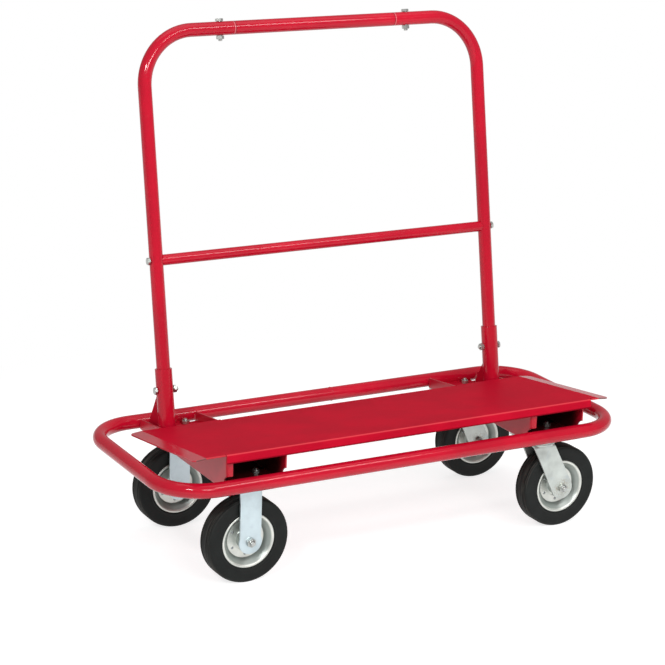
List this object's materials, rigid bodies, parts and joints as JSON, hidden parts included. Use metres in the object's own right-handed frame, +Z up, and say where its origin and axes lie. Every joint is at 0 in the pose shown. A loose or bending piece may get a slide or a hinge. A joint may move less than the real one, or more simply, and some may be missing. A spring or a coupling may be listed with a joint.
{
  "type": "drywall cart",
  "caption": "Drywall cart: tilted sheet deck on cross channels inside a tubular bumper loop, leaning plug-in hoop behind, rigid casters at one end and swivel casters at the other.",
  "frame": {"origin": "on the ground, under the middle of the part's box", "axes": "+X along the cart towards the swivel casters, +Y towards the hoop, +Z up"},
  "size_m": [1.216, 0.5598, 1.1843],
  "materials": {
    "red_paint": "gloss",
    "zinc_sheet": "bright zinc plate",
    "zinc_rim": "zinc plate",
    "zinc_bolt": "zinc plate",
    "bright_steel": "ground",
    "tyre_rubber": "matte",
    "bush_nylon": "matte"
  },
  "bodies": {
    "cart": {"bumper_loop": "red_paint", "cross_channel_left": "red_paint", "cross_channel_right": "red_paint", "deck": "red_paint", "socket_left": "red_paint", "socket_right": "red_paint", "socket_gussets": "red_paint", "upright_left": "red_paint", "upright_right": "red_paint", "top_crossbar": "red_paint", "mid_rail": "red_paint", "splice_bolts": "zinc_bolt", "socket_bolts": "zinc_bolt", "mid_rail_bolts": "zinc_bolt", "caster_bolts": "zinc_bolt", "caster_nuts": "zinc_bolt", "swivel_balls": "bright_steel", "kingpins": "zinc_bolt", "rigid_plate_front": "zinc_sheet", "rigid_plate_rear": "zinc_sheet", "rigid_fork_front": "zinc_sheet", "rigid_fork_rear": "zinc_sheet", "swivel_plate_front": "zinc_sheet", "swivel_plate_rear": "zinc_sheet", "axle_bolt_front_left": "zinc_bolt", "axle_bolt_rear_left": "zinc_bolt", "axle_sleeve_front_left": "bright_steel", "axle_sleeve_rear_left": "bright_steel"},
    "swivel_front": {"swivel_fork_front": "zinc_sheet", "axle_bolt_front_right": "zinc_bolt", "axle_sleeve_front_right": "bright_steel"},
    "swivel_rear": {"swivel_fork_rear": "zinc_sheet", "axle_bolt_rear_right": "zinc_bolt", "axle_sleeve_rear_right": "bright_steel"},
    "wheel_front_left": {"tyre_front_left": "tyre_rubber", "rim_outer_front_left": "zinc_rim", "rim_inner_front_left": "zinc_rim", "hub_front_left": "zinc_rim", "bush_front_left": "bush_nylon", "rim_rivets_front_left": "bright_steel"},
    "wheel_rear_left": {"tyre_rear_left": "tyre_rubber", "rim_outer_rear_left": "zinc_rim", "rim_inner_rear_left": "zinc_rim", "hub_rear_left": "zinc_rim", "bush_rear_left": "bush_nylon", "rim_rivets_rear_left": "bright_steel"},
    "wheel_front_right": {"tyre_front_right": "tyre_rubber", "rim_outer_front_right": "zinc_rim", "rim_inner_front_right": "zinc_rim", "hub_front_right": "zinc_rim", "bush_front_right": "bush_nylon", "rim_rivets_front_right": "bright_steel"},
    "wheel_rear_right": {"tyre_rear_right": "tyre_rubber", "rim_outer_rear_right": "zinc_rim", "rim_inner_rear_right": "zinc_rim", "hub_rear_right": "zinc_rim", "bush_rear_right": "bush_nylon", "rim_rivets_rear_right": "bright_steel"}
  },
  "joints": [
    {"name": "swivel_front", "type": "hinge", "parent": "cart", "child": "swivel_front", "pos_m": [0.392, -0.20394, 0.2335], "axis": [0, 0, 1], "continuous": true},
    {"name": "swivel_rear", "type": "hinge", "parent": "cart", "child": "swivel_rear", "pos_m": [0.392, 0.1662, 0.2335], "axis": [0, 0, 1], "continuous": true},
    {"name": "roll_front_left", "type": "hinge", "parent": "cart", "child": "wheel_front_left", "pos_m": [-0.3895, -0.20394, 0.1], "axis": [0, 1, 0], "continuous": true},
    {"name": "roll_rear_left", "type": "hinge", "parent": "cart", "child": "wheel_rear_left", "pos_m": [-0.3895, 0.1662, 0.1], "axis": [0, 1, 0], "continuous": true},
    {"name": "roll_front_right", "type": "hinge", "parent": "swivel_front", "child": "wheel_front_right", "pos_m": [0.445, -0.20394, 0.1], "axis": [0, 1, 0], "continuous": true},
    {"name": "roll_rear_right", "type": "hinge", "parent": "swivel_rear", "child": "wheel_rear_right", "pos_m": [0.445, 0.1662, 0.1], "axis": [0, 1, 0], "continuous": true}
  ]
}
